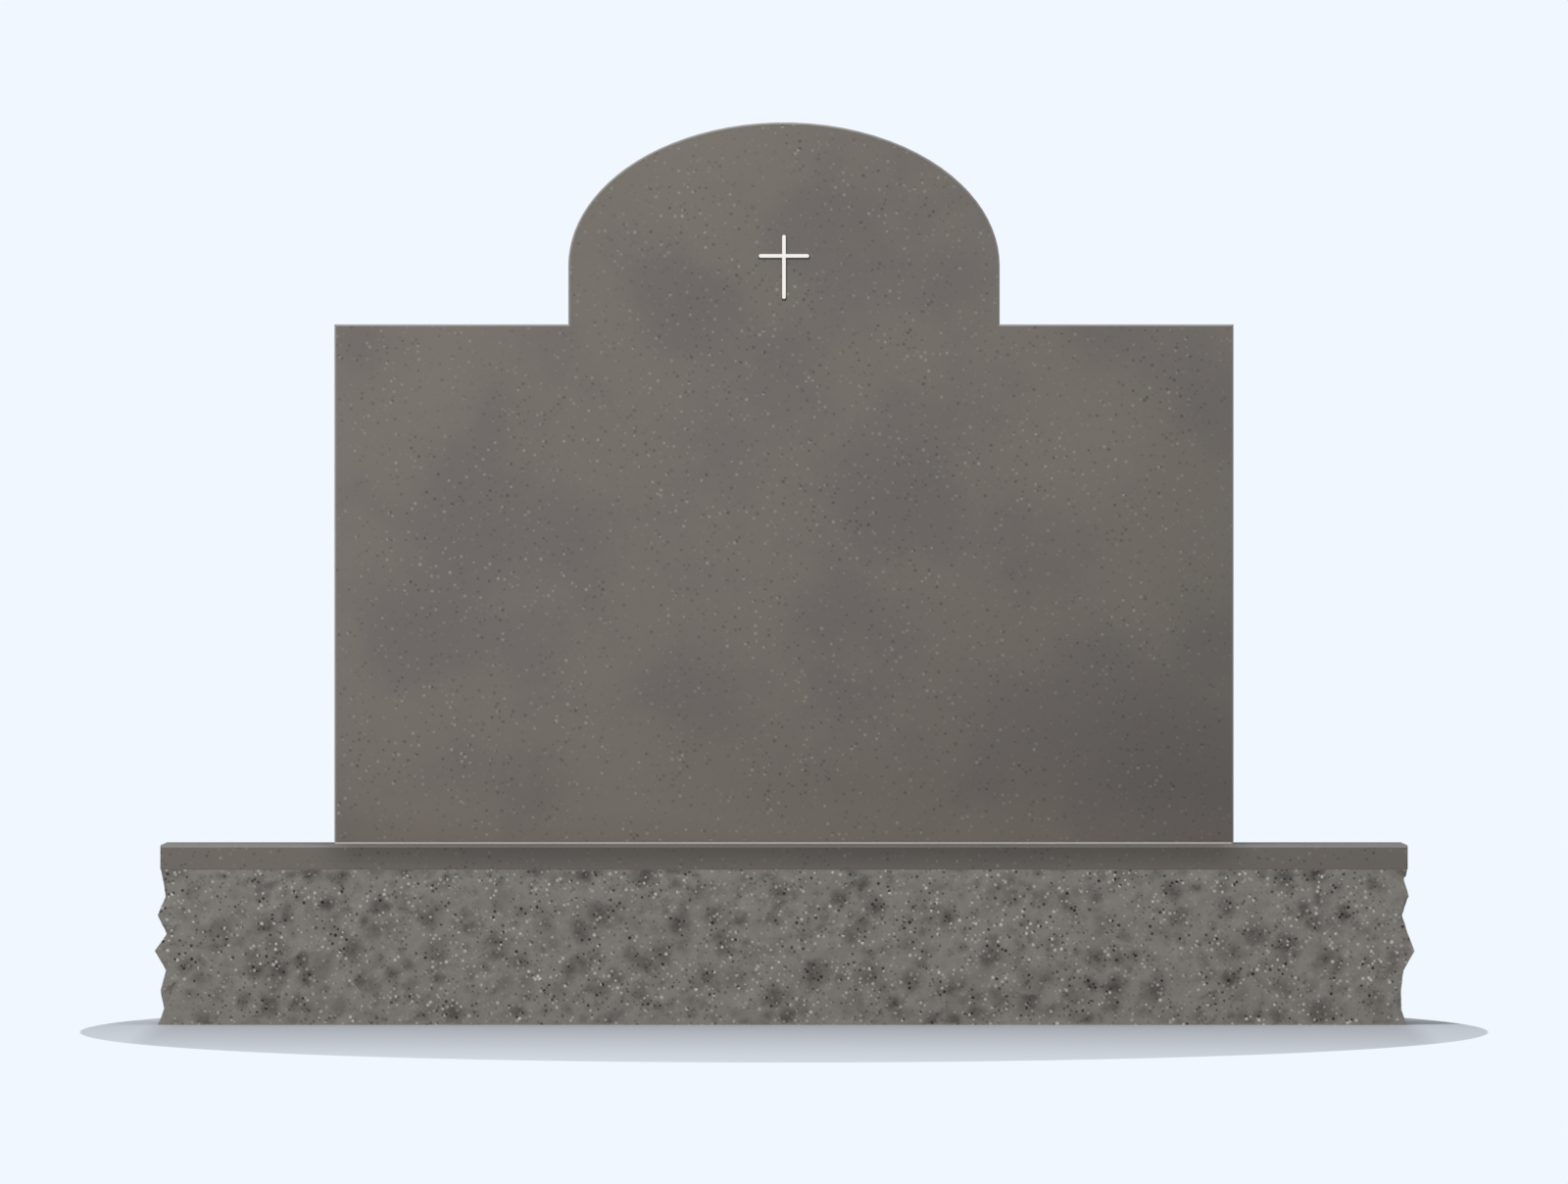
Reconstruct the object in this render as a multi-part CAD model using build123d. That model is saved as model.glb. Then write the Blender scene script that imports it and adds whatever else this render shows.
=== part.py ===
from build123d import *
import os
import random

# A shouldered, round-headed stone tablet set on a rock-pitched stone base.
# Sizes are in millimetres. X runs along the stone, Y from its front to its back, Z up.
# The origin is on the ground, under the middle of the base.

# Tablet, the upright stone
TABLET_WIDTH = 762.0
TABLET_THICKNESS = 152.4
TABLET_HEIGHT = 609.6
SHOULDER_HEIGHT = 438.4  # from the tablet's foot to its level shoulders
HEAD_WIDTH = 365.6  # of the raised middle between the shoulders
HEAD_RISE = 121.4  # of the half ellipse that closes the head, above its straight sides
TABLET_ARRIS = 1.5  # the small ground bevel round the front and back faces

# Base, the lying stone
BASE_LENGTH = 1066.8  # over the proudest rock at both ends
BASE_DEPTH = 304.8  # over the proudest rock, front to back
BASE_HEIGHT = 152.4
BASE_ARRIS = 2.4  # bevel along the front and back edges of the top
END_ARRIS = 1.0  # bevel along the ends of the top and on the upright corners of the band
MARGIN_HEIGHT = 20.8  # of the smooth band under the top, with its bevel

# Rock pitching, the broken faces under the smooth band
END_PROUD = 6.0  # the proudest rock at the two ends stands this far out from the smooth band
END_DEEP = 5.5  # the deepest hollow there lies this far inside it
FACE_PROUD = 3.0  # the same two for the front and the back
FACE_DEEP = 2.2
FOOT_PROUD = 1.5  # how far the front and back may stand out where they meet the ground
ROCK_SET_IN = 0.4  # the rock starts this far inside the band, along the line it was pitched from
FACET_WIDTH = 16.0
FACET_WANDER = 0.32  # how far a corner of a facet strays, as a share of the facet's width or height
END_WANDER = 0.15  # the same on the two ends, where furrows run across
END_ROUGHNESS = 2.5  # how far facets on the ends fall back behind the lines of the furrows
PITCHING_SEED = 11

# The furrows across the two ends. Each has its level, as a share of the rock's height, then how far
# the stone stands out from the band there at the left end and at the right end.
FURROWS = (
    (0.0, 2.1, -1.2),
    (0.105, -2.9, -5.0),
    (0.225, 0.0, -5.4),
    (0.35, -4.6, -3.3),
    (0.475, 5.0, 5.0),
    (0.585, -5.0, 0.5),
    (0.705, 2.5, -4.6),
    (0.825, -4.2, 1.2),
    (0.935, -1.6, -2.9),
)

# Setting, what holds the tablet on the base
BED_THICKNESS = 2.0  # of the pale setting compound between the two stones
BED_SET_BACK = 0.4  # from the faces of the tablet
SPACER_SIZE = 25.0  # square cushions that carry the tablet while the compound sets
SPACER_INSET = 20.0  # from the edges of the tablet's foot
DOWEL_DIAMETER = 16.0
DOWEL_SPACING = 380.0  # between the two dowels
DOWEL_CLEARANCE = 0.5  # all round a dowel in its sockets
DOWEL_END_GAP = 3.0  # above a dowel
BASE_SOCKET_DEPTH = 75.0
TABLET_SOCKET_DEPTH = 80.0

# Cross, a slim raised cross let into the head
CROSS_HEIGHT = 54.2
CROSS_SPAN = 42.7  # over the ends of the arm
CROSS_STROKE = 3.1  # width of the upright and the arm
CROSS_BELOW_CROWN = 95.4  # from the crown of the head to the top of the cross
CROSS_ARM_DROP = 17.8  # from the top of the cross to the middle of its arm
CROSS_PROUD = 2.0  # how far it stands out from the face
CROSS_DEPTH = 3.0  # how far it is let in
CROSS_GAP = 0.1  # glue line round the cross
CROSS_EDGE = 0.3  # rounding of its outer edges

# Places that follow from the sizes above
MARGIN_LENGTH = BASE_LENGTH - 2 * END_PROUD
MARGIN_DEPTH = BASE_DEPTH - 2 * FACE_PROUD
ROCK_TOP = BASE_HEIGHT - MARGIN_HEIGHT
ROWS = len(FURROWS)
TABLET_FOOT = BASE_HEIGHT + BED_THICKNESS
CROWN = TABLET_FOOT + TABLET_HEIGHT
TABLET_FACE = Plane.XZ.offset(TABLET_THICKNESS / 2)  # the front face, drawn with X across and Z up
ON_GROUND = (Align.CENTER, Align.CENTER, Align.MIN)
STANDING = (Align.CENTER, Align.MIN)


def tablet_blank():
    """The upright stone before it is drilled and let in: level shoulders and a half-elliptical head."""
    springing = TABLET_HEIGHT - HEAD_RISE
    with BuildPart() as blank:
        with BuildSketch(Plane.XZ):
            with Locations((0, TABLET_FOOT)):
                Rectangle(TABLET_WIDTH, SHOULDER_HEIGHT, align=STANDING)
                Rectangle(HEAD_WIDTH, springing, align=STANDING)
            with Locations((0, TABLET_FOOT + springing)):
                Ellipse(HEAD_WIDTH / 2, HEAD_RISE)
        extrude(amount=TABLET_THICKNESS / 2, both=True)
        faces = blank.faces().sort_by(Axis.Y)
        outlines = faces[0].edges() + faces[-1].edges()
        arrises = outlines.filter_by(lambda edge: edge.center().Z > TABLET_FOOT + TABLET_ARRIS)
        chamfer(arrises, TABLET_ARRIS)
    return blank.part


def cross_shape(front, depth, growth=0.0):
    """A cross with round ends, from a plane in front of the face back to a depth behind it."""
    top = CROWN - CROSS_BELOW_CROWN
    stroke = CROSS_STROKE + 2 * growth
    with BuildPart() as cross:
        with BuildSketch(TABLET_FACE.offset(-depth)):
            with Locations((0, top - CROSS_HEIGHT / 2)):
                SlotOverall(CROSS_HEIGHT + 2 * growth, stroke, rotation=90)
            with Locations((0, top - CROSS_ARM_DROP)):
                SlotOverall(CROSS_SPAN + 2 * growth, stroke)
        extrude(amount=depth + front)
    return cross.part


def cross_inlay():
    """The raised cross, seated on the floor of its pocket, with its outer edges rounded."""
    cross = cross_shape(CROSS_PROUD, CROSS_DEPTH)
    outer_face = cross.faces().sort_by(Axis.Y)[0]
    return fillet(outer_face.edges(), CROSS_EDGE)


def dowel_places():
    return [-DOWEL_SPACING / 2, DOWEL_SPACING / 2]


def sockets(bottom, depth):
    """Two upright drillings for the dowels, from a level up through a depth."""
    drill = Cylinder(DOWEL_DIAMETER / 2 + DOWEL_CLEARANCE, depth, align=ON_GROUND)
    return [Pos(x, 0, bottom) * drill for x in dowel_places()]


def tablet():
    """The upright stone, drilled from below for its dowels, with the pocket for the cross."""
    pocket = cross_shape(CROSS_PROUD, CROSS_DEPTH, CROSS_GAP)
    return tablet_blank() - pocket - sockets(TABLET_FOOT, TABLET_SOCKET_DEPTH)


def dowel(x):
    """A dowel that stands on the floor of its socket in the base and ends inside the tablet."""
    length = BASE_SOCKET_DEPTH + BED_THICKNESS + TABLET_SOCKET_DEPTH - DOWEL_END_GAP
    return Pos(x, 0, BASE_HEIGHT - BASE_SOCKET_DEPTH) * Cylinder(DOWEL_DIAMETER / 2, length, align=ON_GROUND)


def spacer(side, face):
    """One of the four cushions under the tablet's corners. side and face are -1 or 1."""
    x = side * (TABLET_WIDTH / 2 - SPACER_INSET - SPACER_SIZE / 2)
    y = face * (TABLET_THICKNESS / 2 - SPACER_INSET - SPACER_SIZE / 2)
    return Pos(x, y, BASE_HEIGHT) * Box(SPACER_SIZE, SPACER_SIZE, BED_THICKNESS, align=ON_GROUND)


def spacers():
    sides = {"left": -1, "right": 1}
    faces = {"front": -1, "back": 1}
    return {f"spacer_{f}_{s}": spacer(sides[s], faces[f]) for f in faces for s in sides}


def setting_bed():
    """The sheet of compound that fills the joint, round the cushions and the dowels."""
    length = TABLET_WIDTH - 2 * BED_SET_BACK
    depth = TABLET_THICKNESS - 2 * BED_SET_BACK
    sheet = Pos(0, 0, BASE_HEIGHT) * Box(length, depth, BED_THICKNESS, align=ON_GROUND)
    sheet = chamfer(sheet.edges().filter_by(Axis.Z), TABLET_ARRIS)
    return sheet - list(spacers().values()) - sockets(BASE_HEIGHT, BED_THICKNESS)


def chance(low, high, *place):
    """A repeatable random value between low and high that belongs to one named place."""
    return low + (high - low) * random.Random(repr((PITCHING_SEED, *place))).random()


class RockSide:
    """One broken side of the base: a grid of facet corners that stray from an upright plane."""

    def __init__(self, name, start, along, outward, length, proud, deep, furrows=None):
        self.name = name
        self.start = Vector(*start)
        self.along = Vector(*along)
        self.outward = Vector(*outward)
        self.length = length
        self.proud = proud
        self.deep = deep
        self.furrows = furrows
        self.wander = END_WANDER if furrows else FACET_WANDER
        self.columns = round(length / FACET_WIDTH)
        self.relief = {}
        for column in range(self.columns + 1):
            for row in range(ROWS + 1):
                self.relief[column, row] = self.stand_out(column, row)
        self.reach_full_proud()

    def stand_out(self, column, row):
        """How far a facet corner stands out from the smooth band."""
        if row == ROWS:
            return -ROCK_SET_IN
        if not self.furrows:
            top = FOOT_PROUD if row == 0 else self.proud
            return (self.chance(-self.deep, top, column, row) + self.chance(-self.deep, top, row, column)) / 2
        if column in (0, self.columns):
            return self.furrows[row]
        return self.furrows[row] - self.chance(0, END_ROUGHNESS, column, row)

    def chance(self, low, high, *place):
        return chance(low, high, self.name, *place)

    def reach_full_proud(self):
        """Keeps every corner within the base's size, with the proudest one exactly at it."""
        proudest = max(self.relief, key=self.relief.get)
        for place, value in self.relief.items():
            self.relief[place] = max(-self.deep, min(self.proud, value))
        self.relief[proudest] = self.proud

    def corner(self, column, row, side_before):
        """A facet corner as a point. The first column is shared with the side before this one."""
        place = self.start + self.outward * self.relief[column, row] + Vector(0, 0, row_level(row))
        if column == 0:
            return place + side_before.outward * side_before.relief[side_before.columns, row]
        step = self.length / self.columns
        strayed = column + self.wander * self.chance(-1, 1, column, row, "along")
        if 0 < row < ROWS:
            rise = (row_level(row + 1) - row_level(row - 1)) / 2
            place += Vector(0, 0, rise * self.wander * self.chance(-1, 1, column, row, "up"))
        return place + self.along * (step * strayed)


def row_level(row):
    """How high a row of facet corners lies. The last one is under the smooth band."""
    return ROCK_TOP if row == ROWS else ROCK_TOP * FURROWS[row][0]


def rock_sides():
    """The four broken sides, going round the base from its front left corner."""
    x, y = MARGIN_LENGTH / 2, MARGIN_DEPTH / 2
    _, left, right = zip(*FURROWS)
    return [
        RockSide("front", (-x, -y), (1, 0), (0, -1), MARGIN_LENGTH, FACE_PROUD, FACE_DEEP),
        RockSide("right", (x, -y), (0, 1), (1, 0), MARGIN_DEPTH, END_PROUD, END_DEEP, right),
        RockSide("back", (x, y), (-1, 0), (0, 1), MARGIN_LENGTH, FACE_PROUD, FACE_DEEP),
        RockSide("left", (-x, y), (0, -1), (-1, 0), MARGIN_DEPTH, END_PROUD, END_DEEP, left),
    ]


def facet(*corners):
    return Face(Wire.make_polygon(corners))


def rock_body():
    """The lower part of the base: a closed body of flat facets, with a sawn bed and a level top."""
    sides = rock_sides()
    uprights = []
    for number, side in enumerate(sides):
        for column in range(side.columns):
            before = sides[number - 1]
            uprights.append([side.corner(column, row, before) for row in range(ROWS + 1)])
    skin = []
    for number, near in enumerate(uprights):
        far = uprights[(number + 1) % len(uprights)]
        for row in range(ROWS):
            low_near, high_near = near[row], near[row + 1]
            low_far, high_far = far[row], far[row + 1]
            if chance(0, 1, "fold", number, row) < 0.5:
                skin += [facet(low_near, low_far, high_far), facet(low_near, high_far, high_near)]
            else:
                skin += [facet(low_near, low_far, high_near), facet(low_far, high_far, high_near)]
    bed = facet(*[upright[0] for upright in uprights])
    top = facet(*[upright[-1] for upright in uprights])
    return Solid(Shell([*skin, bed, top]))


def band():
    """The smooth top of the base, with its bevels."""
    block = Pos(0, 0, ROCK_TOP) * Box(MARGIN_LENGTH, MARGIN_DEPTH, MARGIN_HEIGHT, align=ON_GROUND)
    block = chamfer(block.edges().filter_by(Axis.Z), END_ARRIS)
    top = block.faces().sort_by(Axis.Z)[-1]
    block = chamfer(top.edges().filter_by(Axis.X), BASE_ARRIS)
    top = block.faces().sort_by(Axis.Z)[-1]
    return chamfer(top.edges().filter_by(Axis.Y), END_ARRIS)


def base():
    """The lying stone: polished top and smooth band above, rock-pitched below, drilled for the dowels."""
    return band() + rock_body() - sockets(BASE_HEIGHT - BASE_SOCKET_DEPTH, BASE_SOCKET_DEPTH)


def pieces():
    """Every piece of the headstone by its name."""
    left, right = dowel_places()
    return {
        "tablet": tablet(),
        "base": base(),
        "setting_bed": setting_bed(),
        "cross": cross_inlay(),
        "dowel_left": dowel(left),
        "dowel_right": dowel(right),
        **spacers(),
    }


os.makedirs("parts", exist_ok=True)
for name, piece in pieces().items():
    export_step(piece, f"parts/{name}.step")
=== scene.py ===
import math

import bmesh
import bpy
from bpy.props import FloatProperty, FloatVectorProperty, IntProperty, PointerProperty
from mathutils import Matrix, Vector, noise


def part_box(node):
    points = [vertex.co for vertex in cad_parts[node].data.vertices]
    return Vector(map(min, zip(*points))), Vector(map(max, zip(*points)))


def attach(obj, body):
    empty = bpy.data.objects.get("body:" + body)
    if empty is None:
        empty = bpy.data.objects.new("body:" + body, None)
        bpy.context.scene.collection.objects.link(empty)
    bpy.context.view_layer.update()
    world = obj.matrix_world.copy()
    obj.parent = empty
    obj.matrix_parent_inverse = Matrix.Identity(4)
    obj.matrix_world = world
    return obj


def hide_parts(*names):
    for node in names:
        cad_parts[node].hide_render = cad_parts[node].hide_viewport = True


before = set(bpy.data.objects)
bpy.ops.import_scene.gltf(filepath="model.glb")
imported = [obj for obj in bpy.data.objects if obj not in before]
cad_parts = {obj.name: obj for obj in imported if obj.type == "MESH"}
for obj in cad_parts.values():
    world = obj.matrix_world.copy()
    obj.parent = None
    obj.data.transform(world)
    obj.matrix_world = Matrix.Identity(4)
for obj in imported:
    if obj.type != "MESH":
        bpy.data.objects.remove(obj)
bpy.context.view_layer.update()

bl_info = {
    "name": "Shouldered Headstone",
    "version": (1, 0, 0),
    "blender": (4, 5, 0),
    "location": "3D View > Sidebar > Headstone",
    "description": "Dresses a stone tablet, its raised cross and its rock-pitched base",
    "category": "Object",
}

TABLET_LOW, TABLET_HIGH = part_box("tablet")
BASE_LOW, BASE_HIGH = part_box("base")
CROSS_LOW, CROSS_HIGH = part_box("cross")

# Levels and planes of the stones, in metres
MARGIN_HEIGHT = 0.0208  # the smooth band round the top of the base
ROCK_TOP = BASE_HIGH.z - MARGIN_HEIGHT  # where the broken rock begins
ROCK_REACH = 0.016  # more than the rock's proudest and deepest parts lie apart
TABLET_FACE = TABLET_HIGH.y  # how far each face of the tablet lies from its middle
GROUND_ARRIS = 0.0015  # width of the tablet's bevel
BASE_ARRIS = 0.0024  # width of the bevel along the front and back of the base
TOUCH = 1e-5  # points and planes nearer than this touch

MIDWAY = (0.5, 0.5, 0.5)  # the middle of a random colour or vector whose parts are 0 to 1
MIX_FACTOR, MIX_FIRST, MIX_SECOND, MIX_RESULT = 0, 6, 7, 2  # the sockets of a Mix node on colours


def linear(red, green, blue):
    """A colour as it looks on screen, 0 to 255, as the linear light that a shader works in.

    The numbers are those of the sRGB curve.
    """
    parts = (part / 255 for part in (red, green, blue))
    return tuple(
        part / 12.92 if part < 0.04045 else ((part + 0.055) / 1.055) ** 2.4 for part in parts
    )


def colour_property(name, description, *screen):
    """A colour on the panel, given as it looks on screen."""
    return FloatVectorProperty(
        name=name,
        description=description,
        subtype="COLOR",
        size=3,
        min=0.0,
        max=1.0,
        default=linear(*screen),
    )


def length_property(name, description, metres):
    """A length on the panel."""
    return FloatProperty(
        name=name, description=description, unit="LENGTH", min=0.0, default=metres, precision=4
    )


def share_property(name, description, share):
    """A share on the panel, 0 to 1."""
    return FloatProperty(
        name=name, description=description, subtype="FACTOR", min=0.0, max=1.0, default=share
    )


class HeadstoneStone(bpy.types.PropertyGroup):
    """Colours and grain of the two stones."""

    warm: colour_property("Warm stone", "Brownish patches of the honed stone", 121, 114, 105)
    cool: colour_property("Cool stone", "Greyer patches of the honed stone", 114, 107, 103)
    # the dark stone colour, which also colours the painted shade on the honed stone
    dark_and_shade: colour_property("Damp stone", "Darkest parts of the honed stone's clouds", 78, 72, 67)
    broken: colour_property("Broken stone", "Broken rock faces of the base", 131, 127, 120)
    # dirt on the rock, and the colour of the painted shade in its pits
    dirt_and_shade: colour_property("Bruised stone", "Dirt in the hollows of the broken rock", 64, 59, 56)
    ground: colour_property("Ground bevel", "Paler stone where the edges are ground", 168, 165, 161)
    light_speck: colour_property("Light specks", "Palest mineral grains", 190, 186, 178)
    # dark specks, and the colour of the painted shadow under the cross
    dark_speck_and_shadow: colour_property("Dark specks", "Darkest mineral grains", 46, 43, 40)
    patch: length_property("Patch size", "Distance between the soft patches of colour", 0.13)
    speck: length_property("Speck size", "Diameter of the mineral specks", 0.0029)
    # painted shade: the honed stone darker towards its right end, standing in for the lamp's light
    # falling off
    painted_falloff: share_property(
        "Painted falloff", "Darkening of the honed stone towards its right end, for each metre", 0.16
    )
    # painted shade: the tablet darker towards its lower right corner, as light from the upper left
    # falls off
    painted_corner_shade: share_property(
        "Painted corner shade", "Darkening of the tablet towards its lower right corner", 0.27
    )
    # painted shadow of the tablet on the base's top and margin
    painted_tablet_shadow: share_property("Painted tablet shadow", "Darkening of the base under the tablet", 0.45)


class HeadstoneRock(bpy.types.PropertyGroup):
    """Shape of the rock-pitched faces."""

    cuts: IntProperty(
        name="Cuts",
        description="Cuts along each edge of the base's facets",
        min=1,
        max=7,
        default=5,
    )
    pit_spacing: length_property("Pit spacing", "Distance between the bruised pits", 0.022)
    pit_depth: length_property("Pit depth", "Depth of the deepest pits", 0.002)
    chip_size: length_property("Chip size", "Distance between the small flat chips", 0.012)
    chip_depth: length_property("Chip depth", "How far the chips tilt in and out", 0.0007)
    grain: length_property("Grain", "Height of the rough grain", 0.0006)


class HeadstoneStage(bpy.types.PropertyGroup):
    """Camera, lights and floor."""

    background: colour_property("Background", "Colour of the floor and the wall", 240, 247, 255)
    distance: length_property("Camera distance", "From the stone's middle to the camera", 30.0)
    frame_width: length_property(
        "Frame width", "What the picture takes in at the tablet's face", 1.329
    )
    eye: length_property("Eye level", "Height of the camera above the ground", 0.366)
    # the oval's floor colour, darker than the background as a painted ground shadow, and the
    # painted shade close to the stone
    floor: colour_property("Floor", "Colour of the floor round the stone", 214, 221, 229)
    shade: colour_property("Shade", "Colour of the floor close to the stone", 191, 196, 204)
    key: FloatProperty(
        name="Key light", description="Power of the main lamp", unit="POWER", default=608.0
    )
    fill: FloatProperty(
        name="Fill", description="Strength of the even light from all round", default=0.56
    )


class Value:
    """A socket in a shader. Sums on it add Math nodes."""

    def __init__(self, shader, socket):
        self.shader = shader
        self.socket = socket

    def maths(self, operation, *terms):
        """A Math node on some values and numbers."""
        return self.shader.node("ShaderNodeMath", {"operation": operation}, dict(enumerate(terms)))

    def __add__(self, other):
        return self.maths("ADD", self, other)

    def __sub__(self, other):
        return self.maths("SUBTRACT", self, other)

    def __mul__(self, other):
        return self.maths("MULTIPLY", self, other)

    def __rsub__(self, other):
        return self.maths("SUBTRACT", other, self)

    __radd__ = __add__
    __rmul__ = __mul__

    def __abs__(self):
        return self.maths("ABSOLUTE", self)

    def between(self, low, high):
        """1 where the value lies between low and high, else 0."""
        return self.maths("GREATER_THAN", self, low) * self.maths("LESS_THAN", self, high)

    def ramp(self, low, high, start=0.0, end=1.0):
        """Runs smoothly from start to end as the value goes from low to high."""
        inputs = {"Value": self, "From Min": low, "From Max": high, "To Min": start, "To Max": end}
        return self.shader.node("ShaderNodeMapRange", {"interpolation_type": "SMOOTHSTEP"}, inputs)

    def other(self, name):
        """Another output of the node that this value comes from."""
        return Value(self.shader, self.socket.node.outputs[name])


class Shader:
    """The node tree of one material or world."""

    def __init__(self, owner):
        owner.use_nodes = True
        self.tree = owner.node_tree
        self.tree.nodes.clear()

    def node(self, kind, settings=None, inputs=None, output=0):
        """Adds one node: its settings first, then the numbers and links of its sockets."""
        made = self.tree.nodes.new(kind)
        for name, value in (settings or {}).items():
            setattr(made, name, value)
        for name, value in (inputs or {}).items():
            if isinstance(value, Value):
                self.tree.links.new(value.socket, made.inputs[name])
            else:
                made.inputs[name].default_value = value
        return Value(self, made.outputs[output]) if made.outputs else None

    def mix(self, amount, first, second):
        """Blends two colours."""
        first, second = (c if isinstance(c, Value) else (*c, 1.0) for c in (first, second))
        inputs = {MIX_FACTOR: amount, MIX_FIRST: first, MIX_SECOND: second}
        return self.node("ShaderNodeMix", {"data_type": "RGBA"}, inputs, output=MIX_RESULT)

    def noise(self, place, size, detail=2.0, roughness=0.5):
        """A soft noise, 0 to 1, whose largest waves are of a size."""
        inputs = {"Vector": place, "Scale": 1 / size, "Detail": detail, "Roughness": roughness}
        return self.node("ShaderNodeTexNoise", inputs=inputs)

    def patches(self, place, size, span, shares=(0.0, 1.0), **grain):
        """Soft patches: from one share to the other as a noise goes through a span."""
        return self.noise(place, size, **grain).ramp(*span, *shares)

    def place(self):
        """The point on the piece, in metres."""
        return self.node("ShaderNodeTexCoord", output="Object")

    def parts(self, vector):
        """How far a vector goes along X, and along Y and Z as its other outputs."""
        return self.node("ShaderNodeSeparateXYZ", inputs={0: vector})

    def outward(self):
        """The parts of the direction in which the surface faces."""
        return self.parts(self.node("ShaderNodeNewGeometry", output="Normal"))

    def vector(self, operation, *terms):
        """A Vector Math node on some values and vectors."""
        return self.node("ShaderNodeVectorMath", {"operation": operation}, dict(enumerate(terms)))

    def away(self, place, middle, reach):
        """How far a place is from a middle, as a share of the reach along each axis."""
        offset = self.vector("DIVIDE", self.vector("SUBTRACT", place, middle), reach)
        return self.vector("LENGTH", offset).other("Value")


# Mineral specks: each cell of a pattern is a grain, and some grains are specks
GRAIN_TURN = (0.5, 0.7, 0.4)  # so that no row of grains lies along a face of the stone
SPECK_SIZES = (0.4, 0.75)  # from the smallest radius to the largest, as shares of the diameter
SPECK_CORE = 0.3  # the share of its radius within which a speck has its full strength
FAINTEST_SPECK = 0.2
DARK_SHARE = 0.55  # how many of the specks are dark
LIGHT_SHARE = 0.4  # how many are light


def specks(shader, place, spacing, diameter, share):
    """Dark and light mineral specks, each 0 to 1. share is how many of the grains are specks."""
    turned = shader.node("ShaderNodeMapping", inputs={"Vector": place, "Rotation": GRAIN_TURN})
    grains = shader.node("ShaderNodeTexVoronoi", inputs={"Vector": turned, "Scale": 1 / spacing})
    kinds = shader.node("ShaderNodeSeparateColor", inputs={0: grains.other("Color")})
    reach = diameter / spacing * kinds.other("Blue").ramp(0.0, 1.0, *SPECK_SIZES)
    spot = grains.maths("DIVIDE", grains, reach).ramp(SPECK_CORE, 1.0, 1.0, 0.0)
    spot = spot * kinds.other("Green").ramp(0.0, 1.0, FAINTEST_SPECK, 1.0)
    dark = spot * kinds.maths("LESS_THAN", kinds, share * DARK_SHARE)
    light = spot * kinds.maths("GREATER_THAN", kinds, 1 - share * LIGHT_SHARE)
    return dark, light


def speckled(shader, colour, stone, dark, light):
    """The colour with its dark and light specks on it."""
    return shader.mix(light, shader.mix(dark, colour, stone.dark_speck_and_shadow), stone.light_speck)


# Honed stone, which the tablet and the base's margin share
HONED_SPACING = 0.0042  # between its grains
DARK_STRENGTH = 0.42  # how far a dark speck goes towards its colour
LIGHT_STRENGTH = 0.3  # how far a light one does
FINE_GRAIN = 0.0012  # the size of its grain
FINE_RELIEF = 0.00006  # and its height
FINE_ROUGHNESS = 0.08  # how much rougher the grain makes it


def honed_colour(shader, place, stone, dark, cool, share=0.78, strength=1.1):
    """Honed stone, darkened and cooled by shares, with fine specks of a share and strength."""
    # painted shade darkens the stone towards its right end, as the lamp's light falls off
    dark_and_shade = shader.parts(place) * stone.painted_falloff + dark
    colour = shader.mix(dark_and_shade, shader.mix(cool, stone.warm, stone.cool), stone.dark_and_shade)
    drift = shader.patches(place, size=0.06, span=(0.3, 0.7), shares=(0.55, 1.25), detail=3.0)
    both = specks(shader, place, HONED_SPACING, stone.speck, share)
    dark_ones, light_ones = (ones * drift for ones in both)
    dark_ones = dark_ones * (DARK_STRENGTH * strength)
    light_ones = light_ones * (1 - dark_and_shade) * (LIGHT_STRENGTH * strength)
    return speckled(shader, colour, stone, dark_ones, light_ones)


def surface(shader, colour, roughness, height, relief, specular=0.5, metallic=0.0):
    """The finished shader: colour, roughness and fine relief, with the same gloss all over."""
    bump = {"Height": height, "Strength": 1.0, "Distance": relief}
    inputs = {
        "Base Color": colour,
        "Roughness": roughness,
        "Metallic": metallic,
        "Specular IOR Level": specular,
        "Normal": shader.node("ShaderNodeBump", inputs=bump),
    }
    body = shader.node("ShaderNodeBsdfPrincipled", inputs=inputs)
    shader.node("ShaderNodeOutputMaterial", inputs={"Surface": body})


def honed_surface(shader, place, colour, roughness):
    """The finished shader of honed stone."""
    fine = shader.noise(place, FINE_GRAIN)
    roughness = roughness + fine * FINE_ROUGHNESS
    surface(shader, colour, roughness, fine, FINE_RELIEF, specular=0.3)


def new_shader(name):
    """A new material and its node tree."""
    material = bpy.data.materials.new(name)
    return material, Shader(material)


# Soft clouds in the front of the tablet: across, up, radius, and how dark or, below 0, how pale
CLOUDS = (
    (0.050, 0.678, 0.075, 0.8), (-0.080, 0.615, 0.080, 1.0), (0.010, 0.565, 0.070, 0.6),
    (0.150, 0.640, 0.080, 0.5), (0.130, 0.510, 0.075, 0.5), (0.090, 0.440, 0.085, 0.9),
    (-0.240, 0.510, 0.070, 0.4), (-0.275, 0.438, 0.085, 0.9), (-0.175, 0.395, 0.070, 0.4),
    (-0.315, 0.333, 0.085, 0.9), (0.045, 0.325, 0.080, 0.6), (-0.085, 0.258, 0.085, 0.7),
    (0.210, 0.390, 0.080, 0.5), (0.165, 0.250, 0.090, 0.5), (0.285, 0.255, 0.110, 1.2),
    (0.375, 0.195, 0.130, 1.3), (0.375, 0.325, 0.080, 0.8), (-0.205, 0.200, 0.070, 0.4),
    (0.268, 0.588, 0.065, 0.8), (0.365, 0.530, 0.070, 0.8), (-0.365, 0.575, 0.065, 0.6),
    (-0.080, 0.745, 0.120, -1.0), (0.260, 0.500, 0.100, -0.8), (0.300, 0.360, 0.065, -0.5),
    (-0.110, 0.185, 0.105, -0.8), (-0.310, 0.540, 0.080, -0.3), (-0.280, 0.165, 0.080, -0.5),
)
CLOUD_STRAY = 0.09  # how far the outline of a cloud wanders
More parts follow.
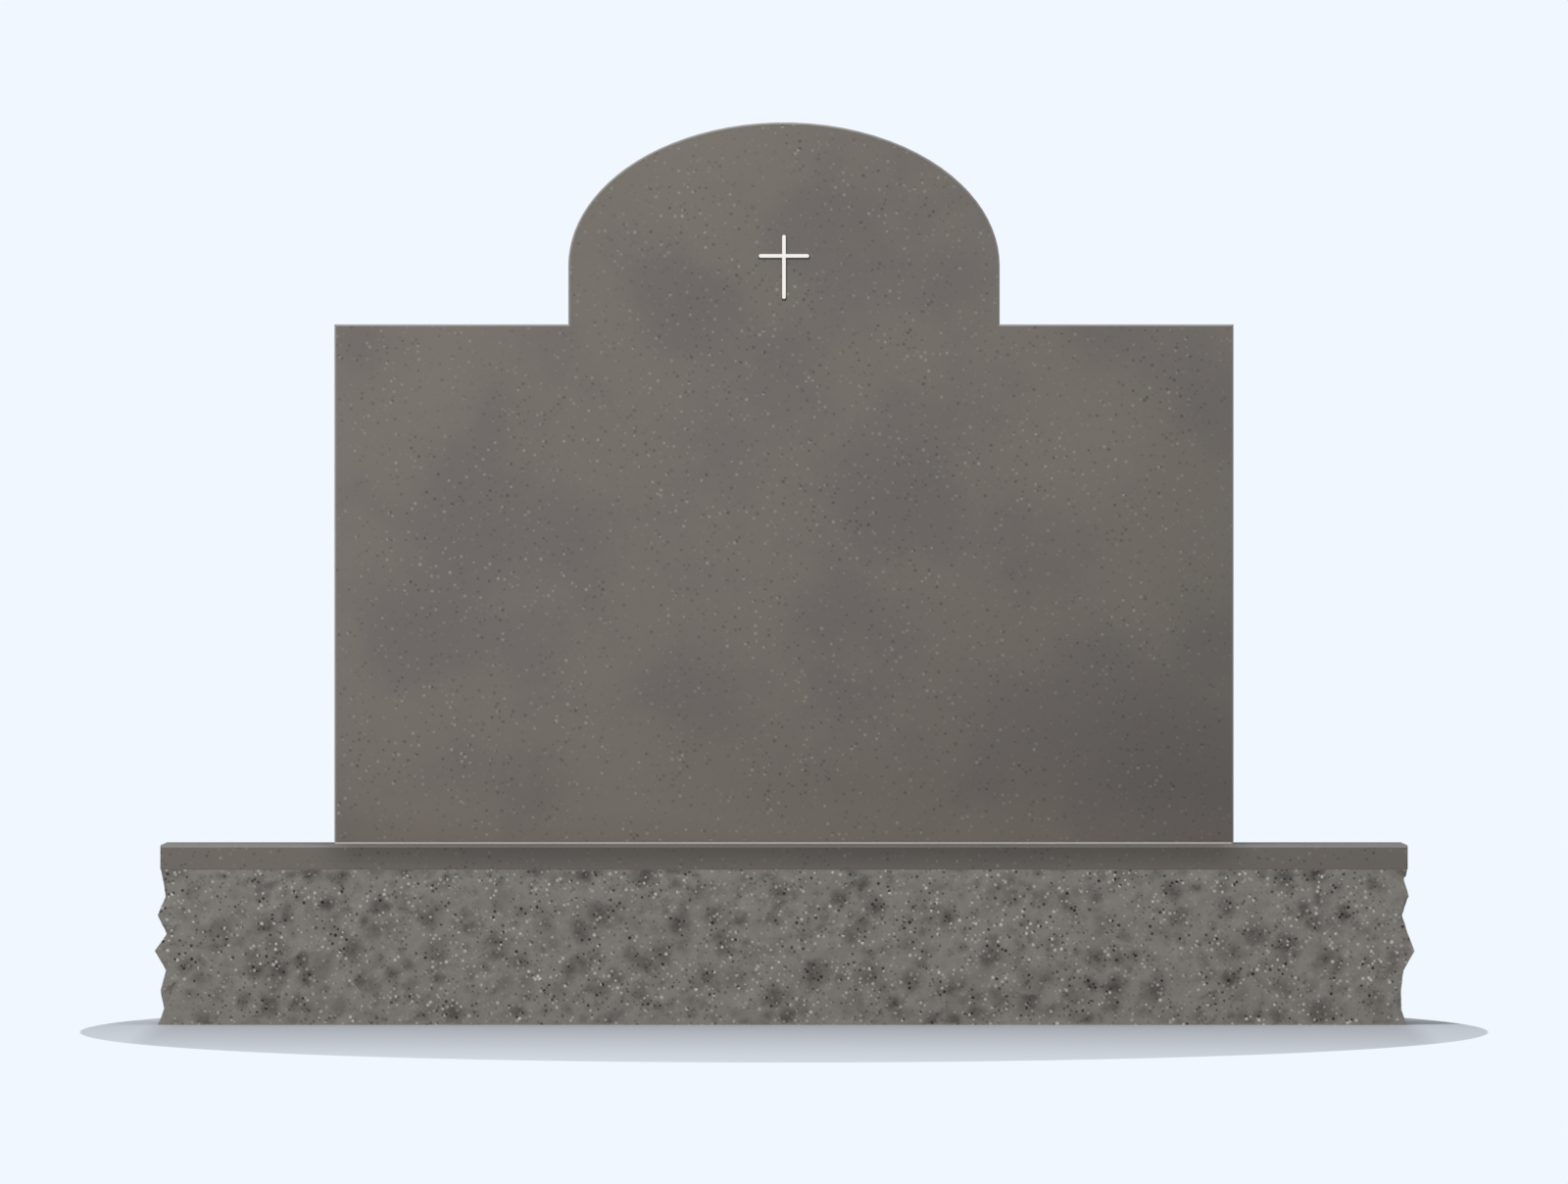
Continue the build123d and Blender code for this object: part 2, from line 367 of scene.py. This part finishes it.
CLOUD_WAVES = 0.1  # the size of the waves in which it wanders
CLOUD_RIPPLE = 1.2  # how dark the ripples between the clouds are
CLOUD_DAMP = 0.115  # how far a cloud takes the stone towards damp stone
TABLET_DAMP = 0.15  # how far towards damp stone all of the tablet is
CORNER_SHADE_FROM = 0.1  # where the painted shade starts: 0 is the left edge and the top, 1 the last corner
FOOT_LIGHT_HEIGHT = 0.05  # the foot of the tablet up to here is painted paler, a painted light against the shade of the base's ledge
FOOT_LIGHT_PALE = 0.24  # how far the painted light takes it back from the dark stone colour

# Cool stone in the tablet, where patches and clouds together pass a span
COOL_FINER = 2.5  # how much finer its patches are than the ripples
COOL_PATCHES = 2.0  # what the patches count for
COOL_CLOUDS = 0.8  # what the clouds count for
COOL_OFFSET = 0.45  # comes off both together
COOL_SPAN = (0.4, 1.1)
COOL_MOST = 0.75  # how far towards cool stone the coolest parts are

# The tablet's bevel, a hair inside its own edges, so that it doesn't show on the faces beside it
BEVEL_SPAN = (TABLET_FACE - GROUND_ARRIS + 0.00005, TABLET_FACE - 0.0001)
BEVEL_PALE = 0.85  # how far it is towards ground stone
BEVEL_SIDES = 0.6  # how much weaker it shows on the upright sides
BEVEL_ROUGHNESS = 0.2  # how much rougher than the honed faces it is
TABLET_ROUGHNESS = 0.5

# The painted shadow under the raised cross
CROSS_ARM = CROSS_HIGH.z - 0.0178  # the middle of the cross's arm
CROSS_SHADOW_HALF_WIDTH = 0.0012  # of its dark core, which is a little narrower than the cross
CROSS_SHADOW_DROP = 0.0013  # how far that core lies under the cross
CROSS_SHADOW_REACH = 0.0011  # how far the painted shadow fades out round its core
CROSS_SHADOW_DARK = 0.7  # how far its core is towards the colour of the dark specks


def strayed(shader, place, size, reach):
    """The place pushed about by a noise, to make a regular pattern wander."""
    push = shader.noise(place, size, detail=4.0).other("Color")
    centred = shader.vector("SUBTRACT", push, MIDWAY)
    return shader.vector("ADD", place, shader.vector("MULTIPLY", centred, (reach,) * 3))


def clouds(shader, place, size):
    """How dark the tablet's clouds are at a place, about -1 to 1.5."""
    wandering = strayed(shader, place, CLOUD_WAVES, CLOUD_STRAY)
    total = (shader.noise(place, size, detail=4.0) - 0.5) * CLOUD_RIPPLE
    for across, up, radius, darkness in CLOUDS:
        away = shader.away(wandering, (across, -TABLET_FACE, up), (radius,) * 3)
        total = total + away.ramp(0.0, 1.0, darkness, 0.0)
    return total


def painted_cross_shadow(shader, parts):
    """The painted shadow under the cross, a dark line just below it, 0 to 1."""
    across, height = abs(parts), parts.other("Z") + CROSS_SHADOW_DROP
    middle, half_height = (CROSS_LOW.z + CROSS_HIGH.z) / 2, (CROSS_HIGH.z - CROSS_LOW.z) / 2
    past_foot, past_arm = abs(height - middle) - half_height, abs(height - CROSS_ARM)
    upright = across.maths("MAXIMUM", across - CROSS_SHADOW_HALF_WIDTH, past_foot)
    arm = across.maths("MAXIMUM", across - CROSS_HIGH.x, past_arm - CROSS_SHADOW_HALF_WIDTH)
    front = parts.maths("LESS_THAN", parts.other("Y"), 0.0)
    return upright.maths("MINIMUM", upright, arm).ramp(0.0, CROSS_SHADOW_REACH, 1.0, 0.0) * front


def tablet_finish(stone):
    """Honed stone: soft clouds, painted shade, a painted pale foot, and a pale bevel round both
    faces.
    """
    material, shader = new_shader("honed_tablet")
    place = shader.place()
    parts = shader.parts(place)
    across, depth, height = parts * (1 / TABLET_HIGH.x), abs(parts.other("Y")), parts.other("Z")
    downward = (TABLET_HIGH.z - height) * (1 / (TABLET_HIGH.z - TABLET_LOW.z))
    # painted shade, darker towards the lower right corner
    corner_shade = ((across * 0.5 + 0.5) * downward).ramp(CORNER_SHADE_FROM, 1.0) * stone.painted_corner_shade
    # painted light: the foot paler, offsetting the shade of the base's ledge below it
    painted_foot_light = height.ramp(TABLET_LOW.z, TABLET_LOW.z + FOOT_LIGHT_HEIGHT, FOOT_LIGHT_PALE, 0.0)
    cloud = clouds(shader, place, stone.patch)
    patches = shader.noise(place, stone.patch / COOL_FINER, detail=3.0) * COOL_PATCHES
    cool = (patches + cloud * COOL_CLOUDS - COOL_OFFSET).ramp(*COOL_SPAN) * COOL_MOST
    # how far towards the dark stone colour: clouds and overall tone, painted shade towards the
    # lower right, less the painted light at the foot
    dark_and_shade = cloud * CLOUD_DAMP + corner_shade + TABLET_DAMP - painted_foot_light
    colour = honed_colour(shader, place, stone, dark_and_shade, cool)
    sideways = abs(shader.outward())
    bevel = depth.between(*BEVEL_SPAN) * (1 - sideways * BEVEL_SIDES)
    # painted shadow under the cross, in the colour of the dark specks
    colour = shader.mix(painted_cross_shadow(shader, parts) * CROSS_SHADOW_DARK, colour, stone.dark_speck_and_shadow)
    colour = shader.mix(bevel * BEVEL_PALE, colour, stone.ground)
    honed_surface(shader, place, colour, bevel * BEVEL_ROUGHNESS + TABLET_ROUGHNESS)
    return material


# The smooth top and margin of the base
MARGIN_DAMP = 0.37  # how far towards damp stone it is
MARGIN_COOL = 0.5  # how far towards cool stone its patches go
MARGIN_ROUGHNESS = 0.55
MARGIN_BEVEL_FOOT = BASE_HIGH.z - BASE_ARRIS - 0.0001  # just under the lower edge of its bevel
MARGIN_BEVEL_TILT = (0.5, 0.9)  # how far up it faces, where 1 is straight up
MARGIN_BEVEL_PALE = 0.4  # how far it is towards ground stone
TABLET_SHADOW_COLOUR = linear(40, 35, 31)  # the colour of the painted shadow of the tablet on the margin under it
TABLET_SHADOW_FADE = 0.02  # how far the painted shadow fades in and out at the tablet's two ends
TABLET_SHADOW_FOOT = ROCK_TOP - 0.005  # it fades down to here
TABLET_SHADOW_LEAST = 0.15  # what is left of it there


def margin_finish(stone):
    """The base's smooth top and margin: honed, pale along the bevel, with painted shadow under the
    tablet.
    """
    material, shader = new_shader("honed_margin")
    place = shader.place()
    parts = shader.parts(place)
    height = parts.other("Z")
    under = abs(parts).ramp(TABLET_HIGH.x - TABLET_SHADOW_FADE, TABLET_HIGH.x + TABLET_SHADOW_FADE, 1.0, 0.0)
    fading = height.ramp(TABLET_SHADOW_FOOT, BASE_HIGH.z - BASE_ARRIS, TABLET_SHADOW_LEAST, 1.0)
    tilted = shader.outward().other("Z").between(*MARGIN_BEVEL_TILT)
    bevel = tilted * height.maths("GREATER_THAN", height, MARGIN_BEVEL_FOOT)
    patches = shader.patches(place, stone.patch, span=(0.35, 0.65), detail=4.0)
    cool = patches * MARGIN_COOL
    colour = honed_colour(shader, place, stone, MARGIN_DAMP, cool, share=0.65, strength=1.3)
    colour = shader.mix(bevel * MARGIN_BEVEL_PALE, colour, stone.ground)
    # painted shadow under the tablet, strongest at the top of the margin
    colour = shader.mix(under * fading * stone.painted_tablet_shadow, colour, TABLET_SHADOW_COLOUR)
    honed_surface(shader, place, colour, MARGIN_ROUGHNESS)
    return material


# The broken stone of the base
ROCK_COARSE = 0.6  # how coarse its noises are
ROCK_DIRT = 0.01  # how far dirt takes all of it towards bruised stone
ROCK_CLOUD_DIRT = 0.04  # and its clouds
PIT_DIRT_AND_SHADE = 0.9  # and its pits, as dirt and painted shade in the hollows
PIT_SPECKS = 0.6  # how many more dark specks show in a pit
ROCK_LIGHT_SPECKS = 1.15  # how strong its light specks are
ROCK_SPACING = 0.0036  # between its grains
ROCK_SPECKS = 0.95  # the share of its grains that are specks
ROCK_GRAIN = 0.0018  # the size of its grain
ROCK_RELIEF = 0.0004  # and its height
ROCK_ROUGHNESS = 0.78
ROCK_ROUGHER = 0.15  # how much rougher the grain makes it


def rock_finish(stone):
    """Broken stone: even grey, dense specks in drifts, and dirt and painted shade in the hollows.
    """
    material, shader = new_shader("pitched_rock")
    place = shader.place()
    cloud = shader.patches(place, size=0.02, span=(0.3, 0.7), detail=4.0, roughness=ROCK_COARSE)
    colour = shader.mix(cloud * ROCK_CLOUD_DIRT + ROCK_DIRT, stone.broken, stone.dirt_and_shade)
    hollow = shader.node("ShaderNodeAttribute", {"attribute_name": "hollow"}, output="Fac")
    broken_up = shader.patches(
        place, size=0.006, span=(0.3, 0.65), shares=(0.55, 1.0), detail=3.0, roughness=ROCK_COARSE
    )
    # dirt and painted shade in the pits
    colour = shader.mix(hollow * broken_up * PIT_DIRT_AND_SHADE, colour, stone.dirt_and_shade)
    bloom = shader.patches(place, size=0.014, span=(0.62, 0.8), shares=(0.0, 0.2))
    colour = shader.mix(bloom, colour, stone.ground)
    drift = shader.patches(place, size=0.02, span=(0.35, 0.6), shares=(0.35, 1.0))
    dark_ones, light_ones = specks(shader, place, ROCK_SPACING, stone.speck, ROCK_SPECKS)
    dark_ones = dark_ones * (drift + hollow * PIT_SPECKS)
    light_ones = light_ones * (drift * ROCK_LIGHT_SPECKS)
    colour = speckled(shader, colour, stone, dark_ones, light_ones)
    grain = shader.noise(place, ROCK_GRAIN, detail=3.0, roughness=ROCK_COARSE)
    roughness = ROCK_ROUGHNESS + grain * ROCK_ROUGHER
    surface(shader, colour, roughness, grain, ROCK_RELIEF, specular=0.2)
    return material


def plain_finish(name, colour, roughness, grain, relief, spread=0.12, metallic=0.0):
    """A small part of one stuff: its colour broken up by a fine grain."""
    material, shader = new_shader(name)
    fine = shader.noise(shader.place(), grain, detail=3.0)
    low, high = (tuple(part * share for part in colour) for share in (1 - spread, 1 + spread / 2))
    surface(shader, shader.mix(fine, low, high), roughness, fine, relief, metallic=metallic)
    return material


def dress(node, material):
    """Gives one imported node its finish."""
    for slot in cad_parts[node].material_slots:
        slot.material = material


class HEADSTONE_OT_tablet(bpy.types.Operator):
    """Finish the upright tablet and its raised cross"""

    bl_idname = "headstone.tablet"
    bl_label = "Tablet and cross"

    def execute(self, context):
        dress("tablet", tablet_finish(context.scene.headstone_stone))
        enamel = plain_finish(
            "white_enamel",
            linear(255, 249, 241),
            roughness=0.35,
            grain=0.004,
            relief=0.00002,
            spread=0.02,
        )
        dress("cross", enamel)
        return {"FINISHED"}


class HEADSTONE_OT_setting(bpy.types.Operator):
    """Finish the joint, its cushions and the dowels"""

    bl_idname = "headstone.setting"
    bl_label = "Setting and dowels"

    def execute(self, context):
        compound = plain_finish(
            "setting_compound", linear(198, 193, 187), roughness=0.8, grain=0.003, relief=0.0002
        )
        cushion = plain_finish(
            "setting_cushion", linear(120, 120, 122), roughness=0.6, grain=0.002, relief=0.0001
        )
        steel = plain_finish(
            "dowel_steel",
            linear(190, 190, 192),
            roughness=0.35,
            grain=0.001,
            relief=0.00002,
            metallic=1.0,
        )
        dress("setting_bed", compound)
        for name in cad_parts:
            if name.startswith("spacer"):
                dress(name, cushion)
            if name.startswith("dowel"):
                dress(name, steel)
        return {"FINISHED"}


EDGE_HOLD = 0.006  # the roughening fades out this near to the margin and the bed
END_HOLD = 0.35  # the share of it that is left on the two ends
PIT_STRAY = 0.004  # how far the outline of a pit wanders
PIT_WAVES = 0.01  # the size of the waves in which it wanders
PIT_SEED = 1  # makes it wander the same way each time
PIT_SIZE = 0.55  # the radius of a middling pit, as a share of the spacing
PIT_VARIES = 0.3  # how much larger or smaller it may be
SMALL_PIT_DEPTH = 0.6  # of the smaller pits between, as shares of those of the large ones
SMALL_PIT_SPACING = 0.52
PIT_DRAW, CHIP_DRAW = 37.0, 53.0  # spread neighbours out, so that each draws its own number
GRAIN_WAVES = 0.009  # the size of the largest waves in the rough grain
GRAIN_FRACTAL = (1.0, 2.0, 3)  # its increment, lacunarity and octaves
SOFTENINGS = 5  # how often the facets of the two long sides are softened
SHARP_ANGLE = math.radians(30)


def parts_of(faces, kind):
    """The verts or edges of some faces, each once, in the order of the faces."""
    return list(dict.fromkeys(part for face in faces for part in getattr(face, kind)))


def in_rock(height):
    """Whether a height is that of the broken rock, between the bed and the margin."""
    return TOUCH < height < ROCK_TOP - TOUCH


def is_rock(face):
    """Whether a face of the base belongs to its broken sides."""
    middle = face.calc_center_median()
    at_end = abs(middle.x) > BASE_HIGH.x - ROCK_REACH
    at_side = abs(middle.y) > BASE_HIGH.y - ROCK_REACH
    return (at_end or at_side) and in_rock(middle.z)


def pit_at(place, spacing):
    """How deep a bruised pit is at a place, 0 to 1. Small ones are shallower."""
    wandering = place + noise.noise_vector(place / PIT_WAVES) * PIT_STRAY
    distances, centres = noise.voronoi(wandering / spacing)
    size = PIT_SIZE + PIT_VARIES * noise.cell(centres[0] * PIT_DRAW)
    near = max(0.0, 1 - distances[0] / size)
    return near * near * (3 - 2 * near) * min(1.0, size * 2)


def chip_at(place, spacing):
    """How far the flat face of a chip stands out at a place, about -1 to 1."""
    point = place / spacing
    centre = noise.voronoi(point)[1][0]
    tilt = noise.cell_vector(centre * CHIP_DRAW) - Vector(MIDWAY)
    return 2 * tilt.dot(point - centre)


def roughen(vert, hollow, rock):
    """Moves one vert of the broken rock out by grain and chips and in by pits."""
    height = vert.co.z
    hold = min(1.0, height / EDGE_HOLD, (ROCK_TOP - height) / EDGE_HOLD)
    hold *= END_HOLD ** abs(vert.normal.x)
    large = pit_at(vert.co, rock.pit_spacing)
    small = SMALL_PIT_DEPTH * pit_at(vert.co, rock.pit_spacing * SMALL_PIT_SPACING)
    pit = vert[hollow] = max(large, small)
    rough = noise.fractal(vert.co / GRAIN_WAVES, *GRAIN_FRACTAL)
    out = rough * rock.grain + chip_at(vert.co, rock.chip_size) * rock.chip_depth
    vert.co += vert.normal * hold * (out - pit * rock.pit_depth - rock.grain)
    vert.co.x = max(BASE_LOW.x, min(BASE_HIGH.x, vert.co.x))
    vert.co.y = max(BASE_LOW.y, min(BASE_HIGH.y, vert.co.y))


def pitch_rock(mesh, rock):
    """Breaks up the facets of a base: finer faces, chips, pits and grain."""
    noise.seed_set(PIT_SEED)
    hollow = mesh.verts.layers.float.new("hollow")
    edges = parts_of([face for face in mesh.faces if is_rock(face)], "edges")
    bmesh.ops.subdivide_edges(mesh, edges=edges, cuts=rock.cuts, use_grid_fill=True)
    sides = [face for face in mesh.faces if is_rock(face)]
    inner = [vert for vert in parts_of(sides, "verts") if in_rock(vert.co.z)]
    long_sides = [vert for vert in inner if abs(vert.co.y) > BASE_HIGH.y - ROCK_REACH]
    for _ in range(SOFTENINGS):
        bmesh.ops.smooth_vert(mesh, verts=long_sides, factor=0.5, use_axis_y=True)
    mesh.normal_update()
    for vert in inner:
        roughen(vert, hollow, rock)
    for face in sides:
        face.material_index = 1
        face.smooth = True
    for edge in parts_of(sides, "edges"):
        edge.smooth = edge.calc_face_angle(0.0) < SHARP_ANGLE


class HEADSTONE_OT_base(bpy.types.Operator):
    """Build the rock-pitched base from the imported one"""

    bl_idname = "headstone.base"
    bl_label = "Rock-pitched base"

    def execute(self, context):
        scene = context.scene
        mesh = bmesh.new()
        mesh.from_mesh(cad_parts["base"].data)
        bmesh.ops.remove_doubles(mesh, verts=mesh.verts, dist=TOUCH)
        for face in mesh.faces:
            face.smooth = False
            face.material_index = 0
        pitch_rock(mesh, scene.headstone_rock)
        data = bpy.data.meshes.new("pitched_base")
        mesh.to_mesh(data)
        mesh.free()
        data.materials.append(margin_finish(scene.headstone_stone))
        data.materials.append(rock_finish(scene.headstone_stone))
        piece = bpy.data.objects.new("pitched_base", data)
        scene.collection.objects.link(piece)
        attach(piece, "root")
        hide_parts("base")
        return {"FINISHED"}


CAMERA_SENSOR = 36.0  # mm
CAMERA_END = 200.0  # the camera sees as far as this
FLOOR_RADIUS = 60.0
FLOOR_SEGMENTS = 96
FLOOR_MIDDLE = (0.0, -0.5, 0.0)  # of the oval of floor that shows its own darker tone, a painted ground shadow
FLOOR_REACH = (0.588, 2.04, 1.0)  # from its middle to its rim
FLOOR_RIM = 0.996  # the share of the reach at which its rim begins to fade
SHADE_FROM = (BASE_HIGH.x - 0.02, BASE_HIGH.y, 0.0)  # the painted soft shade starts at the base
SHADE_REACH = (0.03, 2.4, 1.0)  # and fades out this far to the sides and to the front
KEY_PLACE = (-4.8, -8.4, 6.2)  # of the main lamp
KEY_AIM = Vector((0.0, 0.0, 0.35))
KEY_SIZE = 3.0
WHITE = (1.0, 1.0, 1.0, 1.0)


def background_light(shader, colour):
    """Whether the camera or a mirror looks, and the plain background that it then sees."""
    path = shader.node("ShaderNodeLightPath", output="Is Camera Ray")
    seen = path.maths("MAXIMUM", path, path.other("Is Glossy Ray"))
    seen = seen.maths("MAXIMUM", seen, path.other("Is Transmission Ray"))
    light = {"Color": (*colour, 1.0), "Strength": 1.0}
    return seen, shader.node("ShaderNodeEmission", inputs=light)


class HEADSTONE_OT_stage(bpy.types.Operator):
    """Set up the camera, the lights and the pale floor"""

    bl_idname = "headstone.stage"
    bl_label = "Stage"

    def execute(self, context):
        scene = context.scene
        stage = scene.headstone_stage
        self.camera(scene, stage)
        self.lamp(scene, stage)
        self.world(scene, stage)
        self.floor(scene, stage)
        scene.view_settings.view_transform = "Standard"
        return {"FINISHED"}

    def camera(self, scene, stage):
        """Looks at the stone straight from the front."""
        data = bpy.data.cameras.new("camera")
        data.sensor_width = CAMERA_SENSOR
        data.lens = data.sensor_width * (stage.distance - TABLET_FACE) / stage.frame_width
        data.clip_end = CAMERA_END
        camera = bpy.data.objects.new("camera", data)
        camera.location = (0.0, -stage.distance, stage.eye)
        camera.rotation_euler = (math.radians(90), 0.0, 0.0)
        scene.collection.objects.link(camera)
        scene.camera = camera

    def lamp(self, scene, stage):
        """Lights the stone from the upper left."""
        data = bpy.data.lights.new("key", "AREA")
        data.energy = stage.key
        data.size = KEY_SIZE
        lamp = bpy.data.objects.new("key", data)
        lamp.location = KEY_PLACE
        lamp.rotation_euler = (KEY_AIM - lamp.location).to_track_quat("-Z", "Y").to_euler()
        scene.collection.objects.link(lamp)

    def world(self, scene, stage):
        """Lights evenly from all round, and shows as the plain background."""
        world = bpy.data.worlds.new("studio")
        scene.world = world
        shader = Shader(world)
        seen, backdrop = background_light(shader, stage.background)
        light = {"Color": WHITE, "Strength": stage.fill}
        fill = shader.node("ShaderNodeBackground", inputs=light)
        mixed = shader.node("ShaderNodeMixShader", inputs={0: seen, 1: fill, 2: backdrop})
        shader.node("ShaderNodeOutputWorld", inputs={"Surface": mixed})

    def floor(self, scene, stage):
        """Shows as the background too, but for an oval of painted ground shadow round the stone,
        which also takes its shadow.
        """
        mesh = bmesh.new()
        bmesh.ops.create_circle(
            mesh, cap_ends=True, segments=FLOOR_SEGMENTS, radius=FLOOR_RADIUS
        )
        data = bpy.data.meshes.new("floor")
        mesh.to_mesh(data)
        mesh.free()
        floor = bpy.data.objects.new("floor", data)
        scene.collection.objects.link(floor)
        material, shader = new_shader("floor")
        seen, backdrop = background_light(shader, stage.background)
        place = shader.place()
        far = shader.away(place, FLOOR_MIDDLE, FLOOR_REACH).ramp(FLOOR_RIM, 1.0)
        beside = shader.vector("MAXIMUM", shader.vector("ABSOLUTE", place), SHADE_FROM)
        # painted shade on the floor close to the base
        shade = shader.away(beside, SHADE_FROM, SHADE_REACH).ramp(0.0, 1.0, 1.0, 0.0)
        tone = shader.mix(shade, stage.floor, stage.shade)
        card = shader.node("ShaderNodeBsdfDiffuse", inputs={"Color": tone})
        mixed = shader.node("ShaderNodeMixShader", inputs={0: seen * far, 1: card, 2: backdrop})
        shader.node("ShaderNodeOutputMaterial", inputs={"Surface": mixed})
        data.materials.append(material)


class HEADSTONE_PT_panel(bpy.types.Panel):
    """Sizes and colours of the headstone, with a button for each piece"""

    bl_idname = "HEADSTONE_PT_panel"
    bl_label = "Headstone"
    bl_space_type = "VIEW_3D"
    bl_region_type = "UI"
    bl_category = "Headstone"

    def draw(self, context):
        for owner, values in SETTINGS.items():
            box = self.layout.box()
            for name in values.__annotations__:
                box.prop(getattr(context.scene, owner), name)
        for operator in OPERATORS:
            self.layout.operator(operator.bl_idname)


SETTINGS = {
    "headstone_stone": HeadstoneStone,
    "headstone_rock": HeadstoneRock,
    "headstone_stage": HeadstoneStage,
}
OPERATORS = (HEADSTONE_OT_stage, HEADSTONE_OT_tablet, HEADSTONE_OT_setting, HEADSTONE_OT_base)
CLASSES = (*SETTINGS.values(), *OPERATORS, HEADSTONE_PT_panel)


def register():
    for each in CLASSES:
        bpy.utils.register_class(each)
    for owner, values in SETTINGS.items():
        setattr(bpy.types.Scene, owner, PointerProperty(type=values))


def unregister():
    for owner in SETTINGS:
        delattr(bpy.types.Scene, owner)
    for each in reversed(CLASSES):
        bpy.utils.unregister_class(each)


def main():
    register()
    bpy.ops.headstone.stage()
    bpy.ops.headstone.tablet()
    bpy.ops.headstone.setting()
    bpy.ops.headstone.base()


if __name__ == "__main__":
    main()
